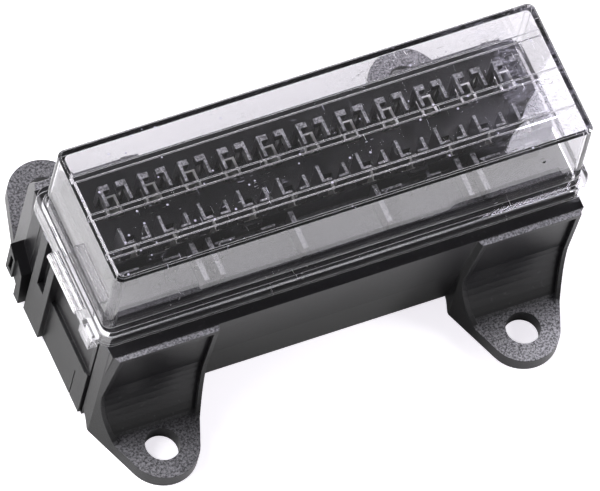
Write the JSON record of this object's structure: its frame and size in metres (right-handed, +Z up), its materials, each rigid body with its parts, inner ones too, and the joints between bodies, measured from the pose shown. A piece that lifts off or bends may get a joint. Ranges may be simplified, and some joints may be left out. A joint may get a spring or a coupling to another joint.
{
  "type": "fuse holder",
  "caption": "Black bolt-down automotive fuse box: a row of mini blade-fuse sockets with formed contacts under a clear lift-off cover",
  "frame": {"origin": "the centre of the bolt-hole pattern, in the plane that the four feet stand on", "axes": "+X runs along the row of sockets, with the cover's latch at -X; +Y points to the back, where the sockets stand a little closer; +Z points up, out of the cover's top"},
  "size_m": [0.1012, 0.0694, 0.0529],
  "materials": {
    "housing": "spark-eroded texture on the up-facing edges, semi-matte elsewhere",
    "fuse_block": "semi-matte, with textured post tops",
    "cover": "clear, with light scratches",
    "contact": "tin plated"
  },
  "bodies": {
    "base": {"housing": "housing", "fuse_block": "fuse_block", "contact_rear_01": "contact", "contact_rear_02": "contact", "contact_rear_03": "contact", "contact_rear_04": "contact", "contact_rear_05": "contact", "contact_rear_06": "contact", "contact_rear_07": "contact", "contact_rear_08": "contact", "contact_rear_09": "contact", "contact_rear_10": "contact", "contact_rear_11": "contact", "contact_front_01": "contact", "contact_front_02": "contact", "contact_front_03": "contact", "contact_front_04": "contact", "contact_front_05": "contact", "contact_front_06": "contact", "contact_front_07": "contact", "contact_front_08": "contact", "contact_front_09": "contact", "contact_front_10": "contact", "contact_front_11": "contact"},
    "cover": {"cover": "cover"}
  },
  "joints": [
    {"name": "cover_lift", "type": "slide", "parent": "base", "child": "cover", "axis": [0, 0, 1], "range_m": [0, 0.026]}
  ]
}
